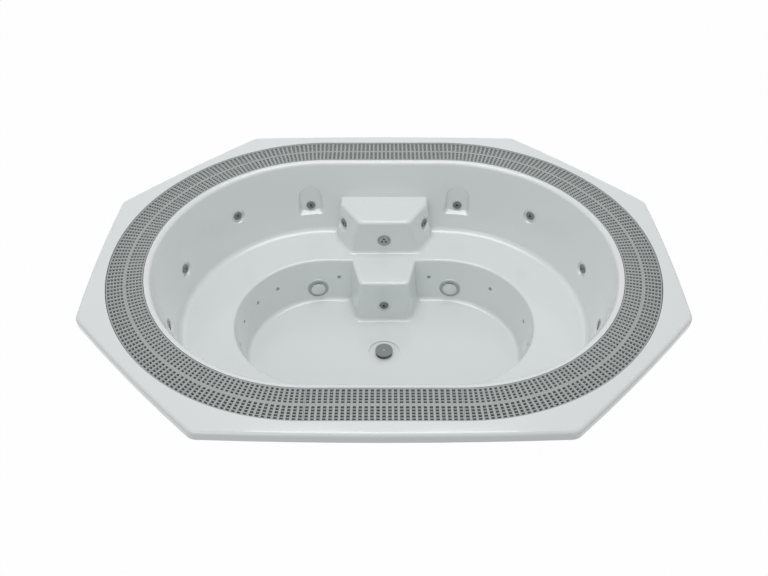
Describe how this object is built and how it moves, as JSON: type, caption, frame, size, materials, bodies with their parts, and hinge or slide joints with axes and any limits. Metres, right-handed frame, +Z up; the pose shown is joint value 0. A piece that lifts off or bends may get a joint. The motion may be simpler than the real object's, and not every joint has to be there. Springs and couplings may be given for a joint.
{
  "type": "hot tub",
  "caption": "Built-in commercial hot tub: octagonal deck rim, oval overflow grating, seated basin with entry steps, massage, air and suction jets, pipework and support frame.",
  "frame": {"origin": "on the ground, below the middle of the tub", "axes": "+X along the tub's long axis, +Y towards the entry steps, +Z up"},
  "size_m": [3, 2.32, 0.9],
  "materials": {
    "shell": "glossy cast acrylic on a laminate",
    "grating": "satin moulded plastic",
    "jet_face": "glossy dark grey plastic",
    "jet_trim": "glossy grey plastic",
    "rubber": "matt black rubber",
    "pipe": "smooth white pressure pipe",
    "fitting": "satin grey plastic",
    "inlet": "glossy light grey plastic",
    "suction_ring": "glossy grey plastic",
    "suction_cap": "glossy white plastic",
    "drain_cover": "satin grey plastic",
    "screw": "stainless steel",
    "frame": "galvanised steel tube"
  },
  "bodies": {
    "tub": {"shell": "shell", "jet_fronts": "jet_trim", "jet_gaskets": "rubber", "jet_tees": "pipe", "water_ring": "pipe", "water_drops": "pipe", "air_ring": "pipe", "air_drops": "pipe", "ring_sockets": "pipe", "inlet_body": "inlet", "inlet_nut": "fitting", "inlet_pipe": "pipe", "air_jets": "jet_trim", "air_jet_nuts": "fitting", "air_jet_ring": "pipe", "suction_bodies": "suction_ring", "suction_nuts": "fitting", "suction_covers": "suction_cap", "suction_screws": "screw", "overflow_outlets": "fitting", "overflow_nuts": "fitting", "drain_body": "fitting", "drain_nut": "fitting", "drain_cover": "drain_cover", "drain_screw": "screw", "base_frame": "frame", "posts": "frame", "foot_pads": "rubber", "foot_studs": "screw", "foot_nuts": "screw"},
    "grating_front": {"grating_front": "grating"},
    "grating_back": {"grating_back": "grating"},
    "grating_left_1": {"grating_left_1": "grating"},
    "grating_left_2": {"grating_left_2": "grating"},
    "grating_left_3": {"grating_left_3": "grating"},
    "grating_left_4": {"grating_left_4": "grating"},
    "grating_left_5": {"grating_left_5": "grating"},
    "grating_left_6": {"grating_left_6": "grating"},
    "grating_right_1": {"grating_right_1": "grating"},
    "grating_right_2": {"grating_right_2": "grating"},
    "grating_right_3": {"grating_right_3": "grating"},
    "grating_right_4": {"grating_right_4": "grating"},
    "grating_right_5": {"grating_right_5": "grating"},
    "grating_right_6": {"grating_right_6": "grating"},
    "jet_face_01": {"jet_face_01": "jet_face"},
    "jet_face_02": {"jet_face_02": "jet_face"},
    "jet_face_03": {"jet_face_03": "jet_face"},
    "jet_face_04": {"jet_face_04": "jet_face"},
    "jet_face_05": {"jet_face_05": "jet_face"},
    "jet_face_06": {"jet_face_06": "jet_face"},
    "jet_face_07": {"jet_face_07": "jet_face"},
    "jet_face_08": {"jet_face_08": "jet_face"},
    "jet_face_09": {"jet_face_09": "jet_face"},
    "jet_face_10": {"jet_face_10": "jet_face"},
    "jet_face_11": {"jet_face_11": "jet_face"},
    "jet_face_12": {"jet_face_12": "jet_face"},
    "jet_face_13": {"jet_face_13": "jet_face"},
    "jet_face_14": {"jet_face_14": "jet_face"},
    "jet_face_15": {"jet_face_15": "jet_face"},
    "inlet_face": {"inlet_face": "inlet"}
  },
  "joints": [
    {"name": "grating_front_lift", "type": "slide", "parent": "tub", "child": "grating_front", "axis": [0, 0, 1], "range_m": [0, 0.15]},
    {"name": "grating_back_lift", "type": "slide", "parent": "tub", "child": "grating_back", "axis": [0, 0, 1], "range_m": [0, 0.15]},
    {"name": "grating_left_1_lift", "type": "slide", "parent": "tub", "child": "grating_left_1", "axis": [0, 0, 1], "range_m": [0, 0.15]},
    {"name": "grating_left_2_lift", "type": "slide", "parent": "tub", "child": "grating_left_2", "axis": [0, 0, 1], "range_m": [0, 0.15]},
    {"name": "grating_left_3_lift", "type": "slide", "parent": "tub", "child": "grating_left_3", "axis": [0, 0, 1], "range_m": [0, 0.15]},
    {"name": "grating_left_4_lift", "type": "slide", "parent": "tub", "child": "grating_left_4", "axis": [0, 0, 1], "range_m": [0, 0.15]},
    {"name": "grating_left_5_lift", "type": "slide", "parent": "tub", "child": "grating_left_5", "axis": [0, 0, 1], "range_m": [0, 0.15]},
    {"name": "grating_left_6_lift", "type": "slide", "parent": "tub", "child": "grating_left_6", "axis": [0, 0, 1], "range_m": [0, 0.15]},
    {"name": "grating_right_1_lift", "type": "slide", "parent": "tub", "child": "grating_right_1", "axis": [0, 0, 1], "range_m": [0, 0.15]},
    {"name": "grating_right_2_lift", "type": "slide", "parent": "tub", "child": "grating_right_2", "axis": [0, 0, 1], "range_m": [0, 0.15]},
    {"name": "grating_right_3_lift", "type": "slide", "parent": "tub", "child": "grating_right_3", "axis": [0, 0, 1], "range_m": [0, 0.15]},
    {"name": "grating_right_4_lift", "type": "slide", "parent": "tub", "child": "grating_right_4", "axis": [0, 0, 1], "range_m": [0, 0.15]},
    {"name": "grating_right_5_lift", "type": "slide", "parent": "tub", "child": "grating_right_5", "axis": [0, 0, 1], "range_m": [0, 0.15]},
    {"name": "grating_right_6_lift", "type": "slide", "parent": "tub", "child": "grating_right_6", "axis": [0, 0, 1], "range_m": [0, 0.15]},
    {"name": "jet_face_01_turn", "type": "hinge", "parent": "tub", "child": "jet_face_01", "pos_m": [-1.13873, -0.22817, 0.6], "axis": [0.9613, 0.2756, 0], "range_deg": [0, 90]},
    {"name": "jet_face_02_turn", "type": "hinge", "parent": "tub", "child": "jet_face_02", "pos_m": [-0.8866, -0.63872, 0.665], "axis": [0.6481, 0.7615, 0], "range_deg": [0, 90]},
    {"name": "jet_face_03_turn", "type": "hinge", "parent": "tub", "child": "jet_face_03", "pos_m": [-0.46043, -0.83556, 0.6], "axis": [0.1392, 0.9903, 0], "range_deg": [0, 90]},
    {"name": "jet_face_04_turn", "type": "hinge", "parent": "tub", "child": "jet_face_04", "pos_m": [-1.13873, 0.22817, 0.6], "axis": [0.9613, -0.2756, 0], "range_deg": [0, 90]},
    {"name": "jet_face_05_turn", "type": "hinge", "parent": "tub", "child": "jet_face_05", "pos_m": [-0.8866, 0.63872, 0.665], "axis": [0.6481, -0.7615, 0], "range_deg": [0, 90]},
    {"name": "jet_face_06_turn", "type": "hinge", "parent": "tub", "child": "jet_face_06", "pos_m": [-0.46043, 0.83556, 0.6], "axis": [0.1392, -0.9903, 0], "range_deg": [0, 90]},
    {"name": "jet_face_07_turn", "type": "hinge", "parent": "tub", "child": "jet_face_07", "pos_m": [1.13873, -0.22817, 0.6], "axis": [-0.9613, 0.2756, 0], "range_deg": [0, 90]},
    {"name": "jet_face_08_turn", "type": "hinge", "parent": "tub", "child": "jet_face_08", "pos_m": [0.8866, -0.63872, 0.665], "axis": [-0.6481, 0.7615, 0], "range_deg": [0, 90]},
    {"name": "jet_face_09_turn", "type": "hinge", "parent": "tub", "child": "jet_face_09", "pos_m": [0.46043, -0.83556, 0.6], "axis": [-0.1392, 0.9903, 0], "range_deg": [0, 90]},
    {"name": "jet_face_10_turn", "type": "hinge", "parent": "tub", "child": "jet_face_10", "pos_m": [1.13873, 0.22817, 0.6], "axis": [-0.9613, -0.2756, 0], "range_deg": [0, 90]},
    {"name": "jet_face_11_turn", "type": "hinge", "parent": "tub", "child": "jet_face_11", "pos_m": [0.8866, 0.63872, 0.665], "axis": [-0.6481, -0.7615, 0], "range_deg": [0, 90]},
    {"name": "jet_face_12_turn", "type": "hinge", "parent": "tub", "child": "jet_face_12", "pos_m": [0.46043, 0.83556, 0.6], "axis": [-0.1392, -0.9903, 0], "range_deg": [0, 90]},
    {"name": "jet_face_13_turn", "type": "hinge", "parent": "tub", "child": "jet_face_13", "pos_m": [-0.24532, 0.70461, 0.56], "axis": [-0.8514, -0.5246, 0], "range_deg": [0, 90]},
    {"name": "jet_face_14_turn", "type": "hinge", "parent": "tub", "child": "jet_face_14", "pos_m": [0.24532, 0.70461, 0.56], "axis": [0.8514, -0.5246, 0], "range_deg": [0, 90]},
    {"name": "jet_face_15_turn", "type": "hinge", "parent": "tub", "child": "jet_face_15", "pos_m": [0, 0.27835, 0.26], "axis": [0, -1, 0], "range_deg": [0, 90]},
    {"name": "inlet_face_turn", "type": "hinge", "parent": "tub", "child": "inlet_face", "pos_m": [0, 0.572, 0.527], "axis": [0, -1, 0], "range_deg": [0, 90]}
  ]
}
